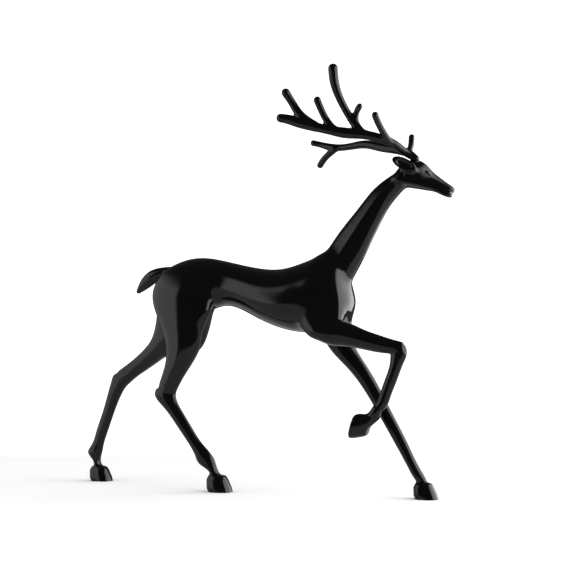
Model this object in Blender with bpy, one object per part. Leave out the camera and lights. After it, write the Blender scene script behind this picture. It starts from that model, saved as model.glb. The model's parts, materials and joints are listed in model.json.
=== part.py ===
"""Walking stag figurine, cast in one piece: lean body, long neck, branching antlers, one foreleg raised.

The animal is described as smooth forms that melt into one another. Every length in the tables is
a share of the height, in units of which TABLE_HEIGHT make up the whole, so that HEIGHT alone sets
the real size. +X points towards the nose, +Y towards the stag's left and +Z up. A surface is found
on a grid where the distance to the forms passes zero, and is then thinned out.
"""
import math
from collections import namedtuple

import bmesh
import bpy
import numpy as np

# Size of the real thing in metres, and its finish
HEIGHT = 0.330
TABLE_HEIGHT = 980
PAINT_COLOUR = (0.006, 0.006, 0.006, 1)
PAINT_ROUGHNESS = 0.2

# The box the forms lie in and its middle, which becomes the origin
EXTENT = ((-612, 408), (-154, 132), (-9, 981))
MIDDLE = (-101.5, -11.6)

# How finely the surface is found: the grid, its blocks, and how wide of the surface a block counts
GRID_STEP = 6.0
BLOCK = 8
MARGIN = 20.0
CAUTION = 1.4
FAR = 60.0
TRIANGLES = 8200
STOPS_PER_POINT = 4

# How points are moved onto the surface, and pinched places filled
SETTLE_ROUNDS = 2
NUDGE = 0.5
LONGEST_MOVE = 3.0
LEAST_SLOPE = 0.2
PINCH_ROUNDS = 12
FILL = 0.5
TINY = 1e-6

# How far apart two forms still melt together
SOFT = 34.0
FIRM = 14.0
TINE = 6.0
CRISP = 5.0

# The hooves run this far below the floor before they are cut level
SOLE_DEPTH = 9.0
SQUARENESS = 2.6

Form = namedtuple("Form", "origin turn widest blend rows square facet", defaults=(2, None))
Branch = namedtuple("Branch", "blend points")

# A form: its origin and turn in the side view, how far up its sections are widest, how softly it
# melts, its rows (place along it, low edge, high edge, half width, sideways place of its middle),
# how square its sections are (2 is an oval), and the facet along both its sides, if it has one:
# how far it leans towards the high edge, and the share of the width that it leaves
TORSO = Form((0, 0), 0, 0.46, SOFT, (
    (-350, 462, 535, 34, 0),
    (-305, 438, 562, 52, 0),
    (-228, 440, 578, 58, 0),
    (-158, 456, 566, 50, 0),
    (-77, 425, 547, 60, 0),
    (0, 395, 543, 69, 0),
    (70, 387, 561, 70, 0),
    (130, 398, 546, 60, 0),
    (158, 418, 505, 47, 0),
    (170, 436, 488, 33, 0),
))
NECK = Form((130, 541), 51, 0.5, SOFT, (
    (-70, -54, 58, 50, 0),
    (0, -48, 43, 39, 0),
    (50, -41, 45, 33, 0),
    (100, -30, 44.5, 30, 0),
    (145, -21, 42.5, 28, 0),
    (200, -15, 39, 26, 0),
    (245, -19, 25, 24, 0),
    (285, -22, 6, 21, 0),
), facet=(20, 0.955))
HEAD = Form((300, 745), -30, 0.14, FIRM, (
    (-20, -23, 20, 24, 0),
    (-8, -24, 34, 28, 0),
    (11, -22, 45.5, 30, 3),
    (32, -15, 44, 29, 9),
    (50, -9, 36.5, 24, 15),
    (70, -2.5, 32, 18, 22),
    (90, -1, 28.5, 13, 29),
    (109, 2, 27, 11, 36),
), square=2.6)

# A leg's rows: height, back edge, front edge, half width, sideways place of its middle
NEAR_THIGH = Form((0, 0), 90, 0.5, SOFT, (
    (236, -330, -278, 16, -50),
    (262, -323, -267, 18, -50),
    (300, -309, -242, 22, -50),
    (350, -303, -213, 28, -48),
    (400, -317, -200, 34, -44),
    (450, -341, -182, 38, -40),
    (500, -344, -196, 34, -34),
    (545, -318, -225, 18, -22),
))
NEAR_SHIN = Form((0, 0), 90, 0.5, CRISP, (
    (34, -180, -156, 13, -46),
    (50, -187, -163, 13, -46),
    (66, -212, -169, 15, -46),
    (82, -222, -175, 15, -47),
    (115, -241, -204, 13, -48),
    (159, -274, -236, 13, -49),
    (204, -311, -266, 14, -50),
    (238, -336, -278, 16, -50),
    (252, -331, -274, 16, -50),
))
FAR_THIGH = Form((0, 0), 90, 0.5, SOFT, (
    (326, -350, -300, 13, 54),
    (348, -363, -266, 21, 51),
    (380, -368, -243, 28, 47),
    (416, -371, -229, 34, 42),
    (450, -376, -219, 36, 38),
    (500, -350, -210, 34, 32),
    (545, -318, -225, 18, 22),
))
FAR_SHANK = Form((-385, 375), 218.4, 0.5, SOFT, (
    (-45, -50, 56, 26, 44),
    (10, -16, 46, 23, 52),
    (42, -11, 41, 20, 57),
    (84, -11.5, 34, 17, 62),
    (126, -15.5, 28, 16, 65),
    (166, -21, 27, 14, 65),
))
FAR_SHIN = Form((0, 0), 90, 0.5, FIRM, (
    (34, -585, -566, 13, 60),
    (56, -592, -571, 13, 60),
    (74, -607, -566, 15, 60),
    (94, -598, -562, 14, 61),
    (130, -583, -550, 13, 62),
    (186, -563, -529, 13, 64),
    (249, -543, -497, 15, 65),
    (268, -537, -481, 15, 65),
    (286, -532, -460, 14, 65),
))
NEAR_SHOULDER = Form((0, 0), 90, 0.5, SOFT, (
    (368, 84, 150, 20, -50),
    (395, 62, 156, 22, -47),
    (430, 56, 160, 23, -44),
    (475, 64, 156, 23, -41),
    (520, 72, 146, 23, -32),
    (565, 92, 124, 14, -20),
), square=2.6)
FAR_FORELEG = Form((0, 0), 90, 0.5, SOFT, (
    (34, 321, 355, 14, 9),
    (64, 305, 333, 12, 11),
    (121, 271, 302, 11, 15),
    (206, 219, 255, 12, 20),
    (245, 193, 233, 13, 24),
    (300, 148, 199, 17, 28),
    (352, 97, 164, 22, 34),
    (395, 80, 152, 28, 38),
    (430, 78, 150, 31, 40),
    (475, 84, 147, 30, 38),
    (520, 84, 141, 26, 34),
    (565, 92, 124, 14, 22),
))
RAISED_ARM = Form((0, 0), 0, 0.5, FIRM, (
    (88, 376, 404, 18, -48),
    (121, 358, 408, 21, -50),
    (161, 352, 410, 21, -52),
    (217, 343, 389, 18, -54),
    (254, 336, 376, 16, -56),
    (285, 332, 366, 14, -56),
    (312, 326, 359, 13, -56),
))
RAISED_SHIN = Form((0, 0), 90, 0.5, CRISP, (
    (196, 228, 253, 13, -56),
    (212, 240, 269, 12, -56),
    (234, 251, 279, 11, -56),
    (274, 266, 295, 11, -56),
    (310, 278, 309, 12, -56),
    (335, 280, 318, 13, -56),
    (352, 282, 315, 13, -56),
))
RAISED_PASTERN = Form((240, 205), 212, 0.5, FIRM, (
    (-8, -10, 22, 13, -56),
    (19, 0, 27, 14, -56),
    (34, -4, 27, 15, -56),
))

BODY = (TORSO, NECK, HEAD, NEAR_THIGH, NEAR_SHIN, FAR_THIGH, FAR_SHANK, FAR_SHIN,
        NEAR_SHOULDER, FAR_FORELEG, RAISED_ARM, RAISED_SHIN, RAISED_PASTERN)

# A hoof's rows as shares of its length: height over the sole, heel, toe, half width
HOOF_ROWS = (
    (-0.15, 0.01, 1.02, 0.43),
    (0.00, 0.00, 1.00, 0.43),
    (0.17, -0.08, 0.96, 0.42),
    (0.50, -0.09, 0.81, 0.37),
    (0.68, 0.00, 0.70, 0.28),
)
Hoof = namedtuple("Hoof", "heel turn length side")
HOOVES = (
    Hoof((-185, 0), 0, 59, -46),
    Hoof((-593, 0), 0, 57, 60),
    Hoof((320, 0), 0, 53, 9),
    Hoof((196, 195), -105, 57, -56),
)

# A branch's points: x, y, z, radius. The near antler has a beam and five tines, the far one a beam and two
TAIL = Branch(CRISP, ((-318, 0, 550, 10), (-345, 0, 545, 14), (-371, 0, 536, 17),
                      (-392, 0, 521, 15), (-408, 0, 506, 9), (-414, 0, 500, 6)))
NEAR_ANTLER = (
    Branch(CRISP, ((327, -14, 780, 7.5), (306, -25, 793, 8.5), (291, -42, 806, 9), (268, -62, 818, 9.5),
                   (243, -78, 825, 10), (219, -92, 829, 11), (186, -99, 833, 12), (152, -105, 841, 10.5),
                   (110, -110, 853, 11), (75, -114, 865, 12), (48, -116, 874, 10.5), (35, -117, 877, 10))),
    Branch(TINE, ((277, -58, 814, 8), (270, -78, 830, 7.5), (263, -94, 849, 7.5), (260, -108, 864, 7.5))),
    Branch(TINE, ((224, -90, 831, 9), (210, -93, 848, 9), (192, -100, 877, 8.5), (178, -114, 910, 9),
                  (171, -128, 942, 10.5), (172, -140, 969, 11))),
    Branch(TINE, ((212, -92, 846, 8), (209, -94, 866, 7), (215, -98, 882, 6.8), (221, -101, 889, 6.8))),
    Branch(TINE, ((159, -104, 843, 9), (145, -108, 863, 8), (135, -116, 886, 8), (128, -124, 907, 8.3))),
    Branch(TINE, ((114, -110, 854, 11), (82, -116, 881, 10), (65, -124, 910, 9), (55, -134, 929, 9.8))),
)
FAR_ANTLER = (
    Branch(CRISP, ((321, 12, 784, 7), (304, 26, 798, 9), (281, 44, 811, 10), (248, 66, 824, 10.5),
                   (210, 84, 836, 11), (168, 95, 848, 10), (126, 103, 848, 8.5), (93, 108, 849, 8.5),
                   (74, 110, 852, 9), (49, 112, 860, 7.5), (26, 112, 867, 7.5))),
    Branch(TINE, ((297, 38, 811, 7), (294, 62, 832, 7), (291, 76, 851, 7))),
    Branch(TINE, ((84, 109, 846, 8.5), (68, 112, 836, 8), (53, 116, 825, 8), (41, 120, 812, 8))),
)

# Ears: middle and side of each, half length, half depth and half thickness of the leaf and of the
# root that carries it, how far inward the root lies, turn of the long axis, flare of the tip, share
# hollowed out, and how softly its rim is rounded
Ear = namedtuple("Ear", "middle side")
EARS = (Ear((309, -37, 763), -1), Ear((302, 36, 762), 1))
EAR_HALF = (29, 13, 8.5)
EAR_ROOT = (20, 13, 12)
EAR_ROOT_DEPTH = 9
EAR_TURN = -28
EAR_FLARE = 0.35
EAR_HOLLOW = 0.7
EAR_RIM = 4.0


def natural_spline(where, knots, values):
    """Smooth curve through the values at the knots, held level past either end."""
    step = np.diff(knots)
    rise = np.diff(values) / step
    last = len(knots) - 1
    system = np.eye(last + 1)
    target = np.zeros(last + 1)
    for i in range(1, last):
        system[i, i - 1:i + 2] = step[i - 1], 2 * (step[i - 1] + step[i]), step[i]
        target[i] = 6 * (rise[i] - rise[i - 1])
    bend = np.linalg.solve(system, target)
    span = np.clip(np.searchsorted(knots, where) - 1, 0, last - 1)
    before = np.clip((knots[span + 1] - where) / step[span], 0, 1)
    after = 1 - before
    sag = (before**3 - before) * bend[span] + (after**3 - after) * bend[span + 1]
    return before * values[span] + after * values[span + 1] + sag * step[span] ** 2 / 6


def melt(a, b, reach):
    """Union of two distance fields with a soft joint."""
    near = np.maximum(reach - np.abs(a - b), 0) / reach
    return np.minimum(a, b) - near**3 * reach / 6


def side_frame(x, z, origin, turn):
    """Places along and across a form that is turned in the side view; 90 degrees stands upright."""
    if turn == 90:
        return z - origin[1], x - origin[0]
    angle = math.radians(turn)
    dx = x - origin[0]
    dz = z - origin[1]
    along = dx * math.cos(angle) + dz * math.sin(angle)
    across = dz * math.cos(angle) - dx * math.sin(angle)
    return along, across


def form_field(form, x, y, z):
    """Distance to a form whose oval sections change along it."""
    along, across = side_frame(x, z, form.origin, form.turn)
    rows = np.array(form.rows, dtype=float)
    low, high, half, side = (natural_spline(along, rows[:, 0], rows[:, i]) for i in range(1, 5))
    level = low + form.widest * (high - low)
    tall = np.where(across > level, high - level, level - low)
    u = (across - level) / tall
    v = np.abs(y - side) / half
    size = (np.abs(u) ** form.square + v**form.square) ** (1 / form.square) + TINY
    steep = form.square - 1
    slope = np.sqrt((np.abs(u) ** steep / tall) ** 2 + (v**steep / half) ** 2) + TINY
    wall = size**steep * (size - 1) / slope
    if form.facet:
        lean = math.radians(form.facet[0])
        slant = u * math.sin(lean) + v * math.cos(lean) - form.facet[1]
        rise = np.sqrt((math.sin(lean) / tall) ** 2 + (math.cos(lean) / half) ** 2)
        wall = np.maximum(wall, slant / rise)
    ends = np.maximum(rows[0, 0] - along, along - rows[-1, 0])
    return -melt(-wall, -ends, form.blend)


def branch_field(branch, x, y, z):
    """Distance to a round, tapering branch along a smooth curve."""
    points = np.array(branch.points, dtype=float)
    knots = np.concatenate(([0], np.cumsum(np.linalg.norm(np.diff(points[:, :3], axis=0), axis=1))))
    stops = np.linspace(0, knots[-1], STOPS_PER_POINT * len(points))
    curve = np.stack([natural_spline(stops, knots, points[:, i]) for i in range(4)], axis=1)
    field = np.full(np.broadcast(x, y, z).shape, np.inf)
    for start, end in zip(curve[:-1], curve[1:]):
        run = end[:3] - start[:3]
        share = ((x - start[0]) * run[0] + (y - start[1]) * run[1] + (z - start[2]) * run[2]) / (run @ run)
        share = np.clip(share, 0, 1)
        gap = np.sqrt((x - start[0] - share * run[0]) ** 2 + (y - start[1] - share * run[1]) ** 2
                      + (z - start[2] - share * run[2]) ** 2)
        field = np.minimum(field, gap - start[3] - share * (end[3] - start[3]))
    return field


def hoof_field(hoof, x, y, z):
    """Distance to a hoof: squarish ovals stacked over its sole, wider at the ground than at the leg."""
    angle = math.radians(hoof.turn)
    dx = x - hoof.heel[0]
    dz = z - hoof.heel[1]
    forward = dx * math.cos(angle) + dz * math.sin(angle)
    above = dz * math.cos(angle) - dx * math.sin(angle)
    rows = np.array(HOOF_ROWS) * hoof.length
    back, front, half = (np.interp(above, rows[:, 0], rows[:, i]) for i in range(1, 4))
    u = np.abs(forward - (back + front) / 2) / ((front - back) / 2)
    v = np.abs(y - hoof.side) / half
    wall = ((u**SQUARENESS + v**SQUARENESS) ** (1 / SQUARENESS) - 1) * half
    floor = -SOLE_DEPTH if hoof.turn == 0 else 0
    ends = np.maximum(floor - above, above - rows[-1, 0])
    return -melt(-wall, -ends, CRISP)


def ear_field(ear, x, y, z):
    """Distance to one ear: a leaf hollowed on its outer face, on a thick root."""
    angle = math.radians(EAR_TURN)
    dx = x - ear.middle[0]
    dz = z - ear.middle[2]
    length = dx * math.cos(angle) + dz * math.sin(angle)
    depth = dz * math.cos(angle) - dx * math.sin(angle)
    out = (y - ear.middle[1]) * ear.side + EAR_FLARE * length
    leaf = oval(length, depth, out, EAR_HALF)
    hollow = oval(length, depth, out - EAR_HALF[2], [EAR_HOLLOW * half for half in EAR_HALF])
    root = oval(length, depth, out + EAR_ROOT_DEPTH, EAR_ROOT)
    return -melt(-melt(leaf, root, CRISP), hollow, EAR_RIM)


def oval(x, y, z, half):
    """Rough distance to an egg shape about the origin with the given half axes."""
    size = np.sqrt((x / half[0]) ** 2 + (y / half[1]) ** 2 + (z / half[2]) ** 2)
    return (size - 1) * min(half)


def all_forms():
    """Every form: how softly it melts into those before it, its field, and what it is made from."""
    forms = [(form.blend, form_field, form) for form in BODY]
    forms += [(FIRM, hoof_field, hoof) for hoof in HOOVES]
    forms += [(FIRM, ear_field, ear) for ear in EARS]
    forms += [(branch.blend, branch_field, branch) for branch in (TAIL, *NEAR_ANTLER, *FAR_ANTLER)]
    return forms


def near_blocks(axes, forms):
    """Blocks of the grid: their middles' distance to the stag, and which forms each lies near."""
    middles = [axis.reshape(-1, BLOCK).mean(axis=1) for axis in axes]
    x, y, z = np.meshgrid(*middles, indexing="ij")
    step = max(np.diff(axis).max() for axis in axes)
    reach = 0.5 * math.sqrt(3) * BLOCK * step * CAUTION
    total = np.full(x.shape, FAR)
    near = []
    for blend, field, what in forms:
        distance = field(what, x, y, z)
        near.append(distance < reach + blend)
        total = melt(total, distance, blend)
    active = np.abs(total) < reach
    return total, active, [mask & active for mask in near]


def grid_field(axes, forms, total, near):
    """Distance to the stag at every grid point; away from the surface only its block's own."""
    counts = total.shape
    values = np.broadcast_to(total[..., None, None, None], counts + (BLOCK,) * 3).copy()
    values[np.logical_or.reduce(near)] = FAR
    cut = [axis.reshape(-1, BLOCK) for axis in axes]
    for (blend, field, what), mask in zip(forms, near):
        i, j, k = np.nonzero(mask)
        x = cut[0][i][:, :, None, None]
        y = cut[1][j][:, None, :, None]
        z = cut[2][k][:, None, None, :]
        values[mask] = melt(values[mask], field(what, x, y, z), blend)
    return values.transpose(0, 3, 1, 4, 2, 5).reshape([len(axis) for axis in axes])


def fill_slits(values):
    """Fills gaps one grid point wide, as in the fork of two branches."""
    for way in range(3):
        ahead = np.moveaxis(values, way, 0)
        slit = (ahead[1:-1] >= 0) & (ahead[:-2] < 0) & (ahead[2:] < 0)
        ahead[1:-1][slit] = -FILL
    return values


def close_pinches(values):
    """Fills grid points where the surface would touch itself across a cell face."""
    for _ in range(PINCH_ROUNDS):
        pinched = 0
        for one, two in ((0, 1), (0, 2), (1, 2)):
            def corner(a, b):
                cut = [slice(None)] * 3
                cut[one] = slice(a, values.shape[one] - 1 + a)
                cut[two] = slice(b, values.shape[two] - 1 + b)
                return values[tuple(cut)]
            for a, b in ((0, 0), (0, 1)):
                solid = (corner(a, b) < 0) & (corner(1 - a, 1 - b) < 0)
                crossed = solid & (corner(1 - a, b) >= 0) & (corner(a, 1 - b) >= 0)
                pinched += crossed.sum()
                corner(a, 1 - b)[crossed] = -FILL
        if not pinched:
            break
    return values


def surface_net(values, axes):
    """Closed mesh of quads where the values pass zero, one vertex to each grid cell they pass in."""
    inside = values < 0
    corners = [(a, b, c) for a in (0, 1) for b in (0, 1) for c in (0, 1)]
    cells = [size - 1 for size in values.shape]
    count = sum(inside[a:a + cells[0], b:b + cells[1], c:c + cells[2]].astype(np.int8) for a, b, c in corners)
    cell = np.stack(np.nonzero((count > 0) & (count < 8)), axis=1)
    number = np.full(cells, -1)
    number[tuple(cell.T)] = np.arange(len(cell))
    place = np.zeros((len(cell), 3))
    crossings = np.zeros(len(cell))
    for start in corners:
        for way in range(3):
            if start[way]:
                continue
            end = np.array(start)
            end[way] = 1
            first = values[tuple((cell + start).T)]
            second = values[tuple((cell + end).T)]
            crossed = (first < 0) != (second < 0)
            share = np.where(crossed, first / np.where(crossed, first - second, 1), 0)
            place[crossed] += (cell + start)[crossed] + share[crossed, None] * (end - start)
            crossings += crossed
    place /= crossings[:, None]
    points = np.stack([np.interp(place[:, i], np.arange(len(axes[i])), axes[i]) for i in range(3)], axis=1)
    quads = []
    for way in range(3):
        one, two = [i for i in range(3) if i != way]
        core = [slice(1, size - 1) for size in values.shape]
        core[way] = slice(0, values.shape[way] - 1)
        ahead = list(core)
        ahead[way] = slice(1, values.shape[way])
        flips = inside[tuple(core)] != inside[tuple(ahead)]
        edge = np.stack(np.nonzero(flips), axis=1)
        edge[:, one] += 1
        edge[:, two] += 1
        ring = []
        for back_one, back_two in ((1, 1), (0, 1), (0, 0), (1, 0)):
            corner = edge.copy()
            corner[:, one] -= back_one
            corner[:, two] -= back_two
            ring.append(number[tuple(corner.T)])
        ring = np.stack(ring, axis=1)
        outward = inside[tuple(edge.T)]
        if way == 1:
            outward = ~outward
        ring[~outward] = ring[~outward][:, ::-1]
        quads.append(ring)
    return points, np.concatenate(quads)


def settle(points, axes, forms, near):
    """Moves the points onto the surface itself, down the field's slope."""
    block = tuple(np.clip(np.searchsorted(axes[i].reshape(-1, BLOCK)[:, 0], points[:, i], side="right") - 1,
                          0, near[0].shape[i] - 1) for i in range(3))

    def field_at(places):
        field = np.full(len(places), FAR)
        for (blend, make, what), mask in zip(forms, near):
            chosen = mask[block]
            x, y, z = places[chosen].T
            field[chosen] = melt(field[chosen], make(what, x, y, z), blend)
        return field

    for _ in range(SETTLE_ROUNDS):
        field = field_at(points)
        slope = np.stack([field_at(points + NUDGE * row) - field for row in np.eye(3)], axis=1) / NUDGE
        steep = np.maximum((slope**2).sum(axis=1), LEAST_SLOPE)
        points = points - slope * np.clip(field / steep, -LONGEST_MOVE, LONGEST_MOVE)[:, None]
    return points


def stag_mesh(name):
    """The melted forms as one closed mesh, in metres about the middle of the statue's own box."""
    axes = []
    for low, high in EXTENT:
        blocks = math.ceil((high - low + 2 * MARGIN) / (GRID_STEP * BLOCK))
        axes.append(low - MARGIN + GRID_STEP * np.arange(blocks * BLOCK))
    forms = all_forms()
    total, active, near = near_blocks(axes, forms)
    values = close_pinches(fill_slits(grid_field(axes, forms, total, near)))
    points, quads = surface_net(values, axes)
    points = settle(points, axes, forms, near)
    points -= (MIDDLE[0], MIDDLE[1], 0)
    mesh = bpy.data.meshes.new(name)
    mesh.from_pydata((points * HEIGHT / TABLE_HEIGHT).tolist(), [], quads.tolist())
    mesh.update()
    return mesh


def thin_out(mesh, triangles):
    """The same mesh with about the given number of triangles."""
    body = bpy.data.objects.new(mesh.name, mesh)
    bpy.context.scene.collection.objects.link(body)
    thinner = body.modifiers.new("fewer triangles", "DECIMATE")
    thinner.ratio = triangles / (2 * len(mesh.polygons))
    graph = bpy.context.evaluated_depsgraph_get()
    result = bpy.data.meshes.new_from_object(body.evaluated_get(graph))
    bpy.data.objects.remove(body)
    return result


def cut_soles_flat(mesh):
    """Cuts the hooves off level with the floor and closes them."""
    work = bmesh.new()
    work.from_mesh(mesh)
    everything = work.verts[:] + work.edges[:] + work.faces[:]
    bmesh.ops.bisect_plane(work, geom=everything, dist=TINY * HEIGHT, plane_co=(0, 0, 0),
                           plane_no=(0, 0, 1), clear_inner=True)
    open_edges = [edge for edge in work.edges if edge.is_boundary]
    bmesh.ops.holes_fill(work, edges=open_edges)
    bmesh.ops.triangulate(work, faces=work.faces[:])
    bmesh.ops.recalc_face_normals(work, faces=work.faces[:])
    work.to_mesh(mesh)
    work.free()


def black_paint():
    """The statue's one finish."""
    material = bpy.data.materials.new("black_gloss_paint")
    material.use_nodes = True
    shader = material.node_tree.nodes["Principled BSDF"]
    shader.inputs["Base Color"].default_value = PAINT_COLOUR
    shader.inputs["Roughness"].default_value = PAINT_ROUGHNESS
    return material


def build():
    """Clears the scene and puts the finished stag in it."""
    for old in list(bpy.data.objects):
        bpy.data.objects.remove(old, do_unlink=True)
    mesh = thin_out(stag_mesh("stag"), TRIANGLES)
    cut_soles_flat(mesh)
    mesh.shade_smooth()
    mesh.materials.clear()
    mesh.materials.append(black_paint())
    stag = bpy.data.objects.new("stag", mesh)
    bpy.context.scene.collection.objects.link(stag)


build()
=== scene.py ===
"""Gloss-black stag figurine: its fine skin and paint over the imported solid, and a plain studio.

The skin is found as the solid's is, from smooth forms that melt into one another, but on a finer
grid and with the eyes, nostrils, mouth, jaw crease and ears' rims worked out. Its forehead and ears
are up to about 1 mm smaller than the solid's. Lengths in the tables are in units of which
TABLE_HEIGHT make up the height. +X points towards the nose, +Y towards the stag's left and +Z up.
"""

import json
import math
from collections import namedtuple

import bmesh
import bpy
import numpy as np
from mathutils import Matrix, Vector

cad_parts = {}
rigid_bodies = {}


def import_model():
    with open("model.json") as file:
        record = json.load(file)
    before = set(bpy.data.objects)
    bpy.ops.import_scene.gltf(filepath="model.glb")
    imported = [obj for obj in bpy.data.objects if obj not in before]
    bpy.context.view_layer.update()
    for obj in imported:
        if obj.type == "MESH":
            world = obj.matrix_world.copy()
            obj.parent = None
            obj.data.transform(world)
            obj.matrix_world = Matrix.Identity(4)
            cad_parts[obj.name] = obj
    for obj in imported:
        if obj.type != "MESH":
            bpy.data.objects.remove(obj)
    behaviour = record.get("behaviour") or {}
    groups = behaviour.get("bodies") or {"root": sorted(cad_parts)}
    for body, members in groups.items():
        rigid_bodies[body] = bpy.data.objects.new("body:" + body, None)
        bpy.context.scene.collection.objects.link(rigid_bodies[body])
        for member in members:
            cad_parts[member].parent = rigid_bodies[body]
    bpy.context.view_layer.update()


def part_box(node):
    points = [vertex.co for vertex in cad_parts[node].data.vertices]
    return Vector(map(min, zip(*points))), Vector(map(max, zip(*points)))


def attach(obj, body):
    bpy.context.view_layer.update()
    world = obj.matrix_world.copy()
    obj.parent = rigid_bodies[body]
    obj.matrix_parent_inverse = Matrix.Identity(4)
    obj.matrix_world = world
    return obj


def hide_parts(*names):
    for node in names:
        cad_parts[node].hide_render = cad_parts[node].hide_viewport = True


# Size of the real thing in metres
HEIGHT = 0.330
TABLE_HEIGHT = 980

# The box the forms lie in and its middle, which becomes the origin
EXTENT = ((-612, 408), (-154, 132), (-9, 981))
MIDDLE = (-101.5, -11.6)

# How finely the surface is found: the grid's step, its finer step and the ranges along x, y and z
# that have it (they cross at the head), how many cells make a block, and how far the grid goes past
# the box
GRID_STEP = 3.0
FINE_STEP = 1.5
FINE = ((282, 416), (-56, 50), (690, 800))
BLOCK = 8
MARGIN = 18.0

# How far from its middle a block looks for the surface, as a multiple of its half diagonal, and the
# distance that stands for far away
CAUTION = 1.4
FAR = 60.0

# About how many triangles the skin keeps, and the stops along a branch for each of its points
TRIANGLES = 190000
STOPS_PER_POINT = 4

# How points are moved onto the surface: rounds, the length that the slope is measured over, the
# longest move, and the least squared slope that is trusted
SETTLE_ROUNDS = 3
NUDGE = 0.25
LONGEST_MOVE = 2.0
LEAST_SLOPE = 0.2

# How pinched places are filled: rounds at most, and how far inside a filled point counts
PINCH_ROUNDS = 12
FILL = 0.3

# A length that counts as nothing, and the turn in degrees past which an edge stays sharp
TINY = 1e-6
SHARPEST_SMOOTH = 50

# Paint: near-black lacquer over a smooth casting, slightly uneven in colour, in shine and, as fine
# orange peel, in its surface. Scales are per metre, and the peel's depth is in metres
PAINT_DARK = (0.0006, 0.0006, 0.0006)
PAINT_LIGHT = (0.0014, 0.0014, 0.0013)
BLOTCHES_PER_METRE = 30
BLOTCH_DETAIL = 3
GLOSS_LEVEL = 0.2
SMOOTHEST = 0.06
ROUGHEST = 0.14
SMUDGES_PER_METRE = 45
SMUDGE_DETAIL = 4
PEEL_STRENGTH = 0.1
PEEL_DEPTH = 0.00005
PEEL_PER_METRE = 420
PEEL_DETAIL = 2

# Floor: its colour, and its corners in metres to the right and towards the camera
FLOOR_COLOUR = (0.48, 0.48, 0.48)
FLOOR_CORNERS = ((-0.62, 0.62), (-0.62, -0.35), (0.65, -0.35), (0.65, 0.30))

# Air: how bright it looks and how brightly it lights, and how bright it is in reflections
AIR_BRIGHTNESS = 1.4
DARK_BRIGHTNESS = 0.10

# Panels: each one's place in metres to the right, towards the camera and up; its width and height;
# its brightness, 1 being plain white; the share of it left at the end away from the camera; and the
# shares of its width and height over which its near edge and its top fade out
Panel = namedtuple("Panel", "name place width tall brightness far_share soft_edge soft_top")
PANELS = (
    Panel("left_panel", (-0.62, -0.12, 0.40), 1.24, 0.80, 2.6, 0.15, 0.10, 0.35),
    Panel("right_panel", (0.65, 0.12, 0.48), 1.60, 0.96, 9.0, 0.40, 0.32, 0.45),
)

# Camera: level, with the horizon below the middle of the picture
CAMERA_PLACE = (0.3613, -0.7668, 0.0985)
CAMERA_YAW = 23.0
LENS = 64.52
HORIZON_SHIFT = 0.149

# How far apart two forms still melt together
SOFT = 34.0
FIRM = 14.0
TINE = 6.0
CRISP = 5.0

# The hooves run this far below the floor before they are cut level, and are this square in outline
SOLE_DEPTH = 9.0
SQUARENESS = 2.6

Form = namedtuple("Form", "origin turn widest blend rows square facet", defaults=(2, None))
Branch = namedtuple("Branch", "blend points")

# A form: its origin and turn in the side view, how far up its sections are widest, how softly it
# melts, its rows (place along it, low edge, high edge, half width, sideways place of its middle),
# how square its sections are (2 is an oval), and the facet along both its sides, if it has one:
# how far it leans towards the high edge, and the share of the width that it leaves
TORSO = Form((0, 0), 0, 0.46, SOFT, (
    (-350, 462, 535, 34, 0),
    (-305, 438, 562, 52, 0),
    (-228, 440, 578, 58, 0),
    (-158, 456, 566, 50, 0),
    (-77, 425, 547, 60, 0),
    (0, 395, 543, 69, 0),
    (70, 387, 561, 70, 0),
    (130, 398, 546, 60, 0),
    (158, 418, 505, 47, 0),
    (170, 436, 488, 33, 0),
))
NECK = Form((130, 541), 51, 0.5, SOFT, (
    (-70, -54, 58, 50, 0),
    (0, -48, 43, 39, 0),
    (50, -41, 45, 33, 0),
    (100, -30, 44.5, 30, 0),
    (145, -21, 42.5, 28, 0),
    (200, -15, 39, 26, 0),
    (245, -19, 25, 24, 0),
    (285, -22, 6, 21, 0),
), facet=(20, 0.955))
HEAD = Form((300, 745), -30, 0.14, FIRM, (
    (-20, -23, 20, 24, 0),
    (-8, -24, 34, 28, 0),
    (11, -22, 44, 30, 3),
    (32, -15, 42, 27.5, 8.5),
    (50, -9, 35.5, 21.5, 15),
    (70, -2.5, 31.5, 16.5, 22.5),
    (90, -1, 28.5, 13, 29),
    (109, 2, 27, 11, 36),
), square=2.6)

# The rows of a form turned by 90: height, back edge, front edge, half width, sideways place
NEAR_THIGH = Form((0, 0), 90, 0.5, SOFT, (
    (236, -330, -278, 16, -50),
    (262, -323, -267, 18, -50),
    (300, -309, -242, 22, -50),
    (350, -303, -213, 28, -48),
    (400, -317, -200, 34, -44),
    (450, -341, -182, 38, -40),
    (500, -344, -196, 34, -34),
    (545, -318, -225, 18, -22),
))
NEAR_SHIN = Form((0, 0), 90, 0.5, CRISP, (
    (34, -180, -156, 13, -46),
    (50, -187, -163, 13, -46),
    (66, -212, -169, 15, -46),
    (82, -222, -175, 15, -47),
    (115, -241, -204, 13, -48),
    (159, -274, -236, 13, -49),
    (204, -311, -266, 14, -50),
    (238, -336, -278, 16, -50),
    (252, -331, -274, 16, -50),
))
FAR_THIGH = Form((0, 0), 90, 0.5, SOFT, (
    (326, -350, -300, 13, 54),
    (348, -363, -266, 21, 51),
    (380, -368, -243, 28, 47),
    (416, -371, -229, 34, 42),
    (450, -376, -219, 36, 38),
    (500, -350, -210, 34, 32),
    (545, -318, -225, 18, 22),
))
FAR_SHANK = Form((-385, 375), 218.4, 0.5, SOFT, (
    (-45, -50, 56, 26, 44),
    (10, -16, 46, 23, 52),
    (42, -11, 41, 20, 57),
    (84, -11.5, 34, 17, 62),
    (126, -15.5, 28, 16, 65),
    (166, -21, 27, 14, 65),
))
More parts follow.
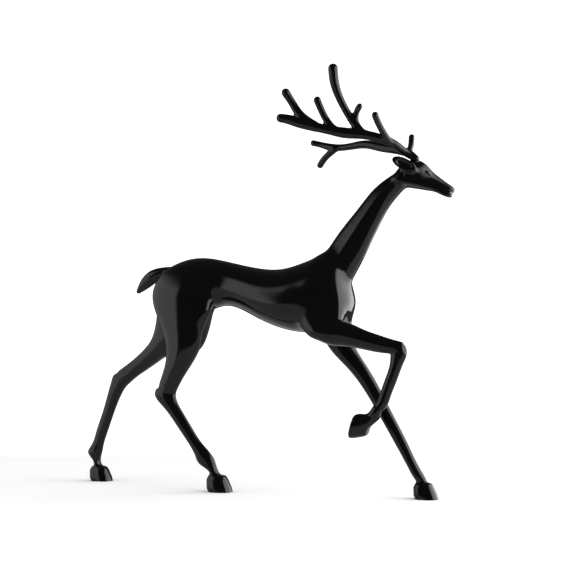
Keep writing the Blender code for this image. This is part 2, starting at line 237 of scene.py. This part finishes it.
FAR_SHIN = Form((0, 0), 90, 0.5, FIRM, (
    (34, -585, -566, 13, 60),
    (56, -592, -571, 13, 60),
    (74, -607, -566, 15, 60),
    (94, -598, -562, 14, 61),
    (130, -583, -550, 13, 62),
    (186, -563, -529, 13, 64),
    (249, -543, -497, 15, 65),
    (268, -537, -481, 15, 65),
    (286, -532, -460, 14, 65),
))
NEAR_SHOULDER = Form((0, 0), 90, 0.5, SOFT, (
    (368, 84, 150, 20, -50),
    (395, 62, 156, 22, -47),
    (430, 56, 160, 23, -44),
    (475, 64, 156, 23, -41),
    (520, 72, 146, 23, -32),
    (565, 92, 124, 14, -20),
), square=2.6)
FAR_FORELEG = Form((0, 0), 90, 0.5, SOFT, (
    (34, 321, 355, 14, 9),
    (64, 305, 333, 12, 11),
    (121, 271, 302, 11, 15),
    (206, 219, 255, 12, 20),
    (245, 193, 233, 13, 24),
    (300, 148, 199, 17, 28),
    (352, 97, 164, 22, 34),
    (395, 80, 152, 28, 38),
    (430, 78, 150, 31, 40),
    (475, 84, 147, 30, 38),
    (520, 84, 141, 26, 34),
    (565, 92, 124, 14, 22),
))
RAISED_ARM = Form((0, 0), 0, 0.5, FIRM, (
    (88, 376, 404, 18, -48),
    (121, 358, 408, 21, -50),
    (161, 352, 410, 21, -52),
    (217, 343, 389, 18, -54),
    (254, 336, 376, 16, -56),
    (285, 332, 366, 14, -56),
    (312, 326, 359, 13, -56),
))
RAISED_SHIN = Form((0, 0), 90, 0.5, CRISP, (
    (196, 228, 253, 13, -56),
    (212, 240, 269, 12, -56),
    (234, 251, 279, 11, -56),
    (274, 266, 295, 11, -56),
    (310, 278, 309, 12, -56),
    (335, 280, 318, 13, -56),
    (352, 282, 315, 13, -56),
))
RAISED_PASTERN = Form((240, 205), 212, 0.5, FIRM, (
    (-8, -10, 22, 13, -56),
    (19, 0, 27, 14, -56),
    (34, -4, 27, 15, -56),
))

BODY = (TORSO, NECK, HEAD, NEAR_THIGH, NEAR_SHIN, FAR_THIGH, FAR_SHANK, FAR_SHIN,
        NEAR_SHOULDER, FAR_FORELEG, RAISED_ARM, RAISED_SHIN, RAISED_PASTERN)

# A hoof's rows as shares of its length: height over the sole, heel, toe, half width
HOOF_ROWS = (
    (-0.15, 0.01, 1.02, 0.43),
    (0.00, 0.00, 1.00, 0.43),
    (0.17, -0.08, 0.96, 0.42),
    (0.50, -0.09, 0.81, 0.37),
    (0.68, 0.00, 0.70, 0.28),
)
Hoof = namedtuple("Hoof", "heel turn length side")
HOOVES = (
    Hoof((-185, 0), 0, 59, -46),
    Hoof((-593, 0), 0, 57, 60),
    Hoof((320, 0), 0, 53, 9),
    Hoof((196, 195), -105, 57, -56),
)

# A branch's points: x, y, z, radius. The near antler has a beam and five tines, the far one a beam
# and two
TAIL = Branch(CRISP, ((-318, 0, 550, 10), (-345, 0, 545, 14), (-371, 0, 536, 17),
                      (-392, 0, 521, 15), (-408, 0, 506, 9), (-414, 0, 500, 6)))
NEAR_ANTLER = (
    Branch(CRISP, ((327, -14, 780, 7.5), (306, -25, 793, 8.5), (291, -42, 806, 9), (268, -62, 818, 9.5),
                   (243, -78, 825, 10), (219, -92, 829, 11), (186, -99, 833, 12), (152, -105, 841, 10.5),
                   (110, -110, 853, 11), (75, -114, 865, 12), (48, -116, 874, 10.5), (35, -117, 877, 10))),
    Branch(TINE, ((277, -58, 814, 8), (270, -78, 830, 7.5), (263, -94, 849, 7.5), (260, -108, 864, 7.5))),
    Branch(TINE, ((224, -90, 831, 9), (210, -93, 848, 9), (192, -100, 877, 8.5), (178, -114, 910, 9),
                  (171, -128, 942, 10.5), (172, -140, 969, 11))),
    Branch(TINE, ((212, -92, 846, 8), (209, -94, 866, 7), (215, -98, 882, 6.8), (221, -101, 889, 6.8))),
    Branch(TINE, ((159, -104, 843, 9), (145, -108, 863, 8), (135, -116, 886, 8), (128, -124, 907, 8.3))),
    Branch(TINE, ((114, -110, 854, 11), (82, -116, 881, 10), (65, -124, 910, 9), (55, -134, 929, 9.8))),
)
FAR_ANTLER = (
    Branch(CRISP, ((321, 12, 784, 7), (304, 26, 798, 9), (281, 44, 811, 10), (248, 66, 824, 10.5),
                   (210, 84, 836, 11), (168, 95, 848, 10), (126, 103, 848, 8.5), (93, 108, 849, 8.5),
                   (74, 110, 852, 9), (49, 112, 860, 7.5), (26, 112, 867, 7.5))),
    Branch(TINE, ((297, 38, 811, 7), (294, 62, 832, 7), (291, 76, 851, 7))),
    Branch(TINE, ((84, 109, 846, 8.5), (68, 112, 836, 8), (53, 116, 825, 8), (41, 120, 812, 8))),
)

# Ears: middle and side of each, half length, half depth and half thickness of the leaf and of the
# root that carries it, how far inward the root lies, turn of the long axis, flare of the tip, share
# hollowed out, and how softly its rim is rounded
Ear = namedtuple("Ear", "middle side")
EARS = (Ear((307, -37, 764), -1), Ear((302, 36, 762), 1))
EAR_HALF = (26, 12, 7.5)
EAR_ROOT = (16, 10, 11)
EAR_ROOT_DEPTH = 9
EAR_TURN = -28
EAR_FLARE = 0.35
EAR_HOLLOW = 0.8
EAR_RIM = 2.0

# The ears' raised rims: how far out on the leaf, in which share of its size, and how thick
RIM_OUT = 4.0
RIM_SHARE = 0.88
RIM_RADIUS = 2.3

# The face's details: how each is joined to the head and how softly, its middle along and across the
# head and out from the head's widest side, its half length, half height and half thickness, and its
# lean in degrees. In order: eye socket, eyeball, nostril, mouth line, open tip of the mouth, jaw
Spot = namedtuple("Spot", "join blend middle half lean")
ADDED = "added"
CARVED = "carved"
FACE = (
    Spot(CARVED, 1, (45.5, 28, -1.5), (10, 5, 4.5), -6),
    Spot(ADDED, 0.5, (46, 27.8, -7.5), (7, 3.4, 7), -6),
    Spot(CARVED, 1.5, (104, 19, 0), (4.2, 2, 2.6), 35),
    Spot(CARVED, 2, (99, 12.6, 0), (15, 1.0, 1.3), 0),
    Spot(CARVED, 1.5, (113, 13.8, -10), (9, 2.2, 16), -5),
    Spot(ADDED, 3, (8, -2, -4), (12, 2.5, 5), -58),
)


def natural_spline(where, knots, values):
    """Smooth curve through the values at the knots, held level past either end."""
    step = np.diff(knots)
    rise = np.diff(values) / step
    last = len(knots) - 1
    system = np.eye(last + 1)
    target = np.zeros(last + 1)
    for i in range(1, last):
        system[i, i - 1:i + 2] = step[i - 1], 2 * (step[i - 1] + step[i]), step[i]
        target[i] = 6 * (rise[i] - rise[i - 1])
    bend = np.linalg.solve(system, target)
    span = np.clip(np.searchsorted(knots, where) - 1, 0, last - 1)
    before = np.clip((knots[span + 1] - where) / step[span], 0, 1)
    after = 1 - before
    sag = (before**3 - before) * bend[span] + (after**3 - after) * bend[span + 1]
    return before * values[span] + after * values[span + 1] + sag * step[span] ** 2 / 6


def melt(a, b, reach):
    """Union of two distance fields with a soft joint."""
    near = np.maximum(reach - np.abs(a - b), 0) / reach
    return np.minimum(a, b) - near**3 * reach / 6


def carve(a, b, reach):
    """The first shape with the second scooped out of it, softly."""
    return -melt(-a, b, reach)


def side_frame(x, z, origin, turn):
    """Places along and across a form that is turned in the side view; 90 degrees stands upright."""
    if turn == 90:
        return z - origin[1], x - origin[0]
    angle = math.radians(turn)
    dx = x - origin[0]
    dz = z - origin[1]
    along = dx * math.cos(angle) + dz * math.sin(angle)
    across = dz * math.cos(angle) - dx * math.sin(angle)
    return along, across


def form_field(form, x, y, z):
    """Distance to a form whose oval sections change along it."""
    along, across = side_frame(x, z, form.origin, form.turn)
    rows = np.array(form.rows, dtype=float)
    low, high, half, side = (natural_spline(along, rows[:, 0], rows[:, i]) for i in range(1, 5))
    level = low + form.widest * (high - low)
    tall = np.where(across > level, high - level, level - low)
    u = (across - level) / tall
    v = np.abs(y - side) / half
    size = (np.abs(u) ** form.square + v**form.square) ** (1 / form.square) + TINY
    steep = form.square - 1
    slope = np.sqrt((np.abs(u) ** steep / tall) ** 2 + (v**steep / half) ** 2) + TINY
    wall = size**steep * (size - 1) / slope
    if form.facet:
        lean = math.radians(form.facet[0])
        slant = u * math.sin(lean) + v * math.cos(lean) - form.facet[1]
        rise = np.sqrt((math.sin(lean) / tall) ** 2 + (math.cos(lean) / half) ** 2)
        wall = np.maximum(wall, slant / rise)
    ends = np.maximum(rows[0, 0] - along, along - rows[-1, 0])
    return -melt(-wall, -ends, form.blend)


def branch_field(branch, x, y, z):
    """Distance to a round, tapering branch along a smooth curve."""
    points = np.array(branch.points, dtype=float)
    knots = np.concatenate(([0], np.cumsum(np.linalg.norm(np.diff(points[:, :3], axis=0), axis=1))))
    stops = np.linspace(0, knots[-1], STOPS_PER_POINT * len(points))
    curve = np.stack([natural_spline(stops, knots, points[:, i]) for i in range(4)], axis=1)
    field = np.full(np.broadcast(x, y, z).shape, np.inf)
    for start, end in zip(curve[:-1], curve[1:]):
        run = end[:3] - start[:3]
        share = (x - start[0]) * run[0] + (y - start[1]) * run[1] + (z - start[2]) * run[2]
        share = np.clip(share / (run @ run), 0, 1)
        gap = np.sqrt((x - start[0] - share * run[0]) ** 2 + (y - start[1] - share * run[1]) ** 2
                      + (z - start[2] - share * run[2]) ** 2)
        field = np.minimum(field, gap - start[3] - share * (end[3] - start[3]))
    return field


def hoof_field(hoof, x, y, z):
    """Distance to a hoof: squarish ovals stacked over its sole, wider at the ground than at the leg."""
    angle = math.radians(hoof.turn)
    dx = x - hoof.heel[0]
    dz = z - hoof.heel[1]
    forward = dx * math.cos(angle) + dz * math.sin(angle)
    above = dz * math.cos(angle) - dx * math.sin(angle)
    rows = np.array(HOOF_ROWS) * hoof.length
    back, front, half = (np.interp(above, rows[:, 0], rows[:, i]) for i in range(1, 4))
    u = np.abs(forward - (back + front) / 2) / ((front - back) / 2)
    v = np.abs(y - hoof.side) / half
    wall = ((u**SQUARENESS + v**SQUARENESS) ** (1 / SQUARENESS) - 1) * half
    floor = -SOLE_DEPTH if hoof.turn == 0 else 0
    ends = np.maximum(floor - above, above - rows[-1, 0])
    return -melt(-wall, -ends, CRISP)


def ear_frame(ear, x, y, z):
    """Places along one ear's leaf, across it and out from it."""
    length, depth = side_frame(x, z, (ear.middle[0], ear.middle[2]), EAR_TURN)
    return length, depth, (y - ear.middle[1]) * ear.side + EAR_FLARE * length


def ear_field(ear, x, y, z):
    """Distance to one ear: a leaf hollowed on its outer face, on a thick root."""
    length, depth, out = ear_frame(ear, x, y, z)
    leaf = oval(length, depth, out, EAR_HALF)
    hollow = oval(length, depth, out - EAR_HALF[2], [EAR_HOLLOW * half for half in EAR_HALF])
    root = oval(length, depth, out + EAR_ROOT_DEPTH, EAR_ROOT)
    return -melt(-melt(leaf, root, CRISP), hollow, EAR_RIM)


def oval(x, y, z, half):
    """Rough distance to an egg shape about the origin with the given half axes."""
    size = np.sqrt((x / half[0]) ** 2 + (y / half[1]) ** 2 + (z / half[2]) ** 2)
    return (size - 1) * min(half)


def spot_field(spot, x, y, z):
    """Distance to one of the face's details, on both sides of the head alike."""
    along, across = side_frame(x, z, HEAD.origin, HEAD.turn)
    rows = np.array(HEAD.rows, dtype=float)
    half, side = (natural_spline(along, rows[:, 0], rows[:, i]) for i in (3, 4))
    out = np.abs(y - side) - half - spot.middle[2]
    angle = math.radians(spot.lean)
    along = along - spot.middle[0]
    across = across - spot.middle[1]
    length = along * math.cos(angle) + across * math.sin(angle)
    height = across * math.cos(angle) - along * math.sin(angle)
    return oval(length, height, out, spot.half)


def rim_field(ear, x, y, z):
    """Distance to the rounded rim along the edge of one ear."""
    length, depth, out = ear_frame(ear, x, y, z)
    around = np.sqrt((length / EAR_HALF[0]) ** 2 + (depth / EAR_HALF[1]) ** 2)
    return np.hypot((around - RIM_SHARE) * EAR_HALF[1], out - RIM_OUT) - RIM_RADIUS


def all_forms():
    """Every form: how it is joined to those before it and how softly, its field, and what makes it."""
    forms = [(melt, form.blend, form_field, form) for form in BODY]
    forms += [(carve if spot.join == CARVED else melt, spot.blend, spot_field, spot) for spot in FACE]
    forms += [(melt, FIRM, hoof_field, hoof) for hoof in HOOVES]
    forms += [(melt, FIRM, ear_field, ear) for ear in EARS]
    forms += [(melt, EAR_RIM, rim_field, ear) for ear in EARS]
    branches = (TAIL, *NEAR_ANTLER, *FAR_ANTLER)
    forms += [(melt, branch.blend, branch_field, branch) for branch in branches]
    return forms


def near_blocks(axes, forms):
    """Blocks of the grid: their middles' distance to the stag, and which forms each lies near."""
    middles = [axis.reshape(-1, BLOCK).mean(axis=1) for axis in axes]
    x, y, z = np.meshgrid(*middles, indexing="ij")
    step = max(np.diff(axis).max() for axis in axes)
    reach = 0.5 * math.sqrt(3) * BLOCK * step * CAUTION
    total = np.full(x.shape, FAR)
    near = []
    for join, blend, field, what in forms:
        distance = field(what, x, y, z)
        near.append(distance < reach + blend)
        total = join(total, distance, blend)
    active = np.abs(total) < reach
    return total, [mask & active for mask in near]


def grid_field(axes, forms, total, near):
    """Distance to the stag at every grid point; away from the surface only its block's own."""
    counts = total.shape
    values = np.broadcast_to(total[..., None, None, None], counts + (BLOCK,) * 3).copy()
    values[np.logical_or.reduce(near)] = FAR
    cut = [axis.reshape(-1, BLOCK) for axis in axes]
    for (join, blend, field, what), mask in zip(forms, near):
        i, j, k = np.nonzero(mask)
        x = cut[0][i][:, :, None, None]
        y = cut[1][j][:, None, :, None]
        z = cut[2][k][:, None, None, :]
        values[mask] = join(values[mask], field(what, x, y, z), blend)
    return values.transpose(0, 3, 1, 4, 2, 5).reshape([len(axis) for axis in axes])


def fill_slits(values):
    """Fills gaps one grid point wide, as in the fork of two branches."""
    for way in range(3):
        ahead = np.moveaxis(values, way, 0)
        slit = (ahead[1:-1] >= 0) & (ahead[:-2] < 0) & (ahead[2:] < 0)
        ahead[1:-1][slit] = -FILL
    return values


def close_pinches(values):
    """Fills grid points where the surface would touch itself across a cell face."""
    for _ in range(PINCH_ROUNDS):
        pinched = 0
        for one, two in ((0, 1), (0, 2), (1, 2)):
            def corner(a, b):
                cut = [slice(None)] * 3
                cut[one] = slice(a, values.shape[one] - 1 + a)
                cut[two] = slice(b, values.shape[two] - 1 + b)
                return values[tuple(cut)]
            for a, b in ((0, 0), (0, 1)):
                solid = (corner(a, b) < 0) & (corner(1 - a, 1 - b) < 0)
                crossed = solid & (corner(1 - a, b) >= 0) & (corner(a, 1 - b) >= 0)
                pinched += crossed.sum()
                corner(a, 1 - b)[crossed] = -FILL
        if not pinched:
            break
    return values


def surface_net(values, axes):
    """Closed mesh of quads where the values pass zero, one vertex to each grid cell they pass in."""
    inside = values < 0
    corners = [(a, b, c) for a in (0, 1) for b in (0, 1) for c in (0, 1)]
    cells = [size - 1 for size in values.shape]
    shifted = [inside[a:a + cells[0], b:b + cells[1], c:c + cells[2]] for a, b, c in corners]
    count = sum(box.astype(np.int8) for box in shifted)
    cell = np.stack(np.nonzero((count > 0) & (count < 8)), axis=1)
    number = np.full(cells, -1)
    number[tuple(cell.T)] = np.arange(len(cell))
    place = np.zeros((len(cell), 3))
    crossings = np.zeros(len(cell))
    for start in corners:
        for way in range(3):
            if start[way]:
                continue
            end = np.array(start)
            end[way] = 1
            first = values[tuple((cell + start).T)]
            second = values[tuple((cell + end).T)]
            crossed = (first < 0) != (second < 0)
            share = np.where(crossed, first / np.where(crossed, first - second, 1), 0)
            place[crossed] += (cell + start)[crossed] + share[crossed, None] * (end - start)
            crossings += crossed
    place /= crossings[:, None]
    points = np.stack([np.interp(place[:, i], np.arange(len(axes[i])), axes[i]) for i in range(3)], axis=1)
    quads = []
    for way in range(3):
        one, two = [i for i in range(3) if i != way]
        core = [slice(1, size - 1) for size in values.shape]
        core[way] = slice(0, values.shape[way] - 1)
        ahead = list(core)
        ahead[way] = slice(1, values.shape[way])
        flips = inside[tuple(core)] != inside[tuple(ahead)]
        edge = np.stack(np.nonzero(flips), axis=1)
        edge[:, one] += 1
        edge[:, two] += 1
        ring = []
        for back_one, back_two in ((1, 1), (0, 1), (0, 0), (1, 0)):
            corner = edge.copy()
            corner[:, one] -= back_one
            corner[:, two] -= back_two
            ring.append(number[tuple(corner.T)])
        ring = np.stack(ring, axis=1)
        outward = inside[tuple(edge.T)]
        if way == 1:
            outward = ~outward
        ring[~outward] = ring[~outward][:, ::-1]
        quads.append(ring)
    return points, np.concatenate(quads)


def settle(points, axes, forms, near):
    """Moves the points onto the surface itself, down the field's slope."""
    block = tuple(np.clip(np.searchsorted(axes[i].reshape(-1, BLOCK)[:, 0], points[:, i], side="right") - 1,
                          0, near[0].shape[i] - 1) for i in range(3))

    def field_at(places):
        field = np.full(len(places), FAR)
        for (join, blend, make, what), mask in zip(forms, near):
            chosen = mask[block]
            x, y, z = places[chosen].T
            field[chosen] = join(field[chosen], make(what, x, y, z), blend)
        return field

    for _ in range(SETTLE_ROUNDS):
        field = field_at(points)
        slope = np.stack([field_at(points + NUDGE * row) - field for row in np.eye(3)], axis=1) / NUDGE
        steep = np.maximum((slope**2).sum(axis=1), LEAST_SLOPE)
        points = points - slope * np.clip(field / steep, -LONGEST_MOVE, LONGEST_MOVE)[:, None]
    return points


def grid_axis(low, high, fine):
    """Grid places along one axis in whole blocks, closer together within the fine range."""
    places = [low - MARGIN]
    while places[-1] < high + MARGIN or len(places) % BLOCK:
        close = fine[0] <= places[-1] < fine[1]
        places.append(places[-1] + (FINE_STEP if close else GRID_STEP))
    return np.array(places)


def find_surface(forms):
    """The forms' grid, what lies near each block, and the mesh of their surface in table units."""
    axes = [grid_axis(low, high, fine) for (low, high), fine in zip(EXTENT, FINE)]
    total, near = near_blocks(axes, forms)
    values = close_pinches(fill_slits(grid_field(axes, forms, total, near)))
    points, quads = surface_net(values, axes)
    return axes, near, points, quads


def thin_out(mesh, triangles):
    """The same mesh with about the given number of triangles."""
    body = bpy.data.objects.new(mesh.name, mesh)
    bpy.context.scene.collection.objects.link(body)
    thinner = body.modifiers.new("fewer triangles", "DECIMATE")
    thinner.ratio = triangles / (2 * len(mesh.polygons))
    graph = bpy.context.evaluated_depsgraph_get()
    result = bpy.data.meshes.new_from_object(body.evaluated_get(graph))
    bpy.data.objects.remove(body)
    return result


def cut_soles_flat(mesh):
    """Cuts the hooves off level with the floor and closes them."""
    work = bmesh.new()
    work.from_mesh(mesh)
    everything = work.verts[:] + work.edges[:] + work.faces[:]
    bmesh.ops.bisect_plane(work, geom=everything, dist=TINY, plane_co=(0, 0, 0), plane_no=(0, 0, 1),
                           clear_inner=True)
    open_edges = [edge for edge in work.edges if edge.is_boundary]
    bmesh.ops.holes_fill(work, edges=open_edges)
    bmesh.ops.triangulate(work, faces=work.faces[:])
    bmesh.ops.recalc_face_normals(work, faces=work.faces[:])
    work.to_mesh(mesh)
    work.free()


def mesh_points(mesh):
    """The mesh's points, a row each."""
    flat = np.empty(3 * len(mesh.vertices), np.float32)
    mesh.vertices.foreach_get("co", flat)
    return flat.reshape(-1, 3)


def move_points(mesh, points):
    """Puts the mesh's points at the given places."""
    mesh.vertices.foreach_set("co", points.astype(np.float32).ravel())


def skin_mesh(name, low, high):
    """The fine skin in metres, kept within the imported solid's own box."""
    forms = all_forms()
    axes, near, points, quads = find_surface(forms)
    points = settle(points, axes, forms, near)
    mesh = bpy.data.meshes.new(name)
    mesh.from_pydata(points.tolist(), [], quads.tolist())
    mesh = thin_out(mesh, TRIANGLES)
    move_points(mesh, settle(mesh_points(mesh).astype(float), axes, forms, near))
    cut_soles_flat(mesh)
    places = (mesh_points(mesh) - (*MIDDLE, 0)) * HEIGHT / TABLE_HEIGHT
    move_points(mesh, np.clip(places, np.array(low), np.array(high)))
    mesh.name = name
    mesh.shade_smooth()
    mesh.set_sharp_from_angle(angle=math.radians(SHARPEST_SMOOTH))
    return mesh


def seen_from_camera(right, towards, up):
    """The place that many metres to the right, towards the camera and up, seen by the camera."""
    turn = math.radians(CAMERA_YAW)
    return (right * math.cos(turn) + towards * math.sin(turn),
            right * math.sin(turn) - towards * math.cos(turn), up)


def black_paint():
    """Gloss lacquer, almost black, with a faint orange peel and slightly uneven shine."""
    material = bpy.data.materials.new("black_gloss_paint")
    material.use_nodes = True
    nodes = material.node_tree.nodes
    links = material.node_tree.links
    shader = nodes["Principled BSDF"]
    place = nodes.new("ShaderNodeTexCoord")

    def noise(scale, detail):
        texture = nodes.new("ShaderNodeTexNoise")
        texture.inputs["Scale"].default_value = scale
        texture.inputs["Detail"].default_value = detail
        links.new(place.outputs["Object"], texture.inputs["Vector"])
        return texture.outputs["Fac"]

    shader.inputs["Specular IOR Level"].default_value = GLOSS_LEVEL
    tint = nodes.new("ShaderNodeMix")
    tint.data_type = "RGBA"
    tint.inputs["A"].default_value = (*PAINT_DARK, 1)
    tint.inputs["B"].default_value = (*PAINT_LIGHT, 1)
    links.new(noise(BLOTCHES_PER_METRE, BLOTCH_DETAIL), tint.inputs["Factor"])
    links.new(tint.outputs["Result"], shader.inputs["Base Color"])

    shine = nodes.new("ShaderNodeMapRange")
    shine.inputs["To Min"].default_value = SMOOTHEST
    shine.inputs["To Max"].default_value = ROUGHEST
    links.new(noise(SMUDGES_PER_METRE, SMUDGE_DETAIL), shine.inputs["Value"])
    links.new(shine.outputs["Result"], shader.inputs["Roughness"])

    peel = nodes.new("ShaderNodeBump")
    peel.inputs["Strength"].default_value = PEEL_STRENGTH
    peel.inputs["Distance"].default_value = PEEL_DEPTH
    links.new(noise(PEEL_PER_METRE, PEEL_DETAIL), peel.inputs["Height"])
    links.new(peel.outputs["Normal"], shader.inputs["Normal"])
    return material


def pale_floor():
    """A plain pale table top, lit until it looks about as white as the air past its edges."""
    mesh = bpy.data.meshes.new("floor")
    corners = [seen_from_camera(right, towards, 0) for right, towards in FLOOR_CORNERS]
    mesh.from_pydata(corners, [], [range(len(corners))])
    material = bpy.data.materials.new("pale_floor")
    material.use_nodes = True
    shader = material.node_tree.nodes["Principled BSDF"]
    shader.inputs["Base Color"].default_value = (*FLOOR_COLOUR, 1)
    shader.inputs["Roughness"].default_value = 1.0
    shader.inputs["Specular IOR Level"].default_value = 0.0
    mesh.materials.append(material)
    floor = bpy.data.objects.new("floor", mesh)
    bpy.context.scene.collection.objects.link(floor)


def ramp(tree, value, start, end, low, high):
    """The value stepped smoothly from low at the start to high at the end."""
    step = tree.nodes.new("ShaderNodeMapRange")
    step.interpolation_type = "SMOOTHSTEP"
    for name, number in (("From Min", start), ("From Max", end), ("To Min", low), ("To Max", high)):
        step.inputs[name].default_value = number
    tree.links.new(value, step.inputs["Value"])
    return step.outputs["Result"]


def times(tree, one, two):
    """The two values multiplied."""
    product = tree.nodes.new("ShaderNodeMath")
    product.operation = "MULTIPLY"
    tree.links.new(one, product.inputs[0])
    tree.links.new(two, product.inputs[1])
    return product.outputs["Value"]


def shade_panel(tree, panel):
    """Dims a panel away from the camera, and fades out its near edge and its top."""
    place = tree.nodes.new("ShaderNodeNewGeometry")
    split = tree.nodes.new("ShaderNodeSeparateXYZ")
    tree.links.new(place.outputs["Parametric"], split.inputs["Vector"])

    # A panel's own width runs from 0 to 1, away from the camera on the right, towards it on the left
    near_end = 0 if panel.place[0] > 0 else 1
    far_end = 1 - near_end
    fade_end = near_end + (far_end - near_end) * panel.soft_edge
    depth = ramp(tree, split.outputs["X"], far_end, near_end, panel.far_share, 1)
    edge = ramp(tree, split.outputs["X"], near_end, fade_end, 0, 1)
    top = ramp(tree, split.outputs["Y"], 1, 1 - panel.soft_top, 0, 1)
    glow = times(tree, times(tree, depth, edge), top)
    tree.links.new(glow, tree.nodes["Emission"].inputs["Strength"])


def soft_panels():
    """The studio's glowing panels, upright on either side of the stag and facing it."""
    for panel in PANELS:
        light = bpy.data.lights.new(panel.name, "AREA")
        light.shape = "RECTANGLE"
        light.size = panel.width
        light.size_y = panel.tall
        light.energy = math.pi * panel.width * panel.tall * panel.brightness
        light.use_nodes = True
        shade_panel(light.node_tree, panel)
        lamp = bpy.data.objects.new(panel.name, light)
        lamp.location = seen_from_camera(*panel.place)
        facing = Vector(seen_from_camera(-math.copysign(1, panel.place[0]), 0, 0))
        lamp.rotation_euler = facing.to_track_quat("-Z", "Y").to_euler()
        lamp.visible_camera = False
        bpy.context.scene.collection.objects.link(lamp)


def studio_air():
    """White all round for the eye and for fill light, but dark in reflections beyond the panels."""
    world = bpy.data.worlds.new("studio")
    world.use_nodes = True
    nodes = world.node_tree.nodes
    links = world.node_tree.links
    white = nodes["Background"]
    white.inputs["Color"].default_value = (1, 1, 1, 1)
    white.inputs["Strength"].default_value = AIR_BRIGHTNESS
    dark = nodes.new("ShaderNodeBackground")
    dark.inputs["Color"].default_value = (1, 1, 1, 1)
    dark.inputs["Strength"].default_value = DARK_BRIGHTNESS
    ray = nodes.new("ShaderNodeLightPath")
    mix = nodes.new("ShaderNodeMixShader")
    links.new(ray.outputs["Is Glossy Ray"], mix.inputs["Fac"])
    links.new(white.outputs["Background"], mix.inputs[1])
    links.new(dark.outputs["Background"], mix.inputs[2])
    links.new(mix.outputs["Shader"], nodes["World Output"].inputs["Surface"])
    bpy.context.scene.world = world


def camera():
    """The photograph's viewpoint: level, a little to the right of the stag's side, horizon low."""
    lens = bpy.data.cameras.new("camera")
    lens.lens = LENS
    lens.shift_y = HORIZON_SHIFT
    view = bpy.data.objects.new("camera", lens)
    view.location = CAMERA_PLACE
    view.rotation_euler = (math.radians(90), 0, math.radians(CAMERA_YAW))
    bpy.context.scene.collection.objects.link(view)
    bpy.context.scene.camera = view


def dress():
    """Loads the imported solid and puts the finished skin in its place."""
    for old in list(bpy.data.objects):
        bpy.data.objects.remove(old, do_unlink=True)
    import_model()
    low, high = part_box("stag")
    skin = bpy.data.objects.new("stag_skin", skin_mesh("stag_skin", low, high))
    bpy.context.scene.collection.objects.link(skin)
    skin.data.materials.clear()
    skin.data.materials.append(black_paint())
    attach(skin, "root")
    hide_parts("stag")
    pale_floor()
    soft_panels()
    studio_air()
    camera()
    bpy.context.scene.view_settings.view_transform = "Standard"


dress()
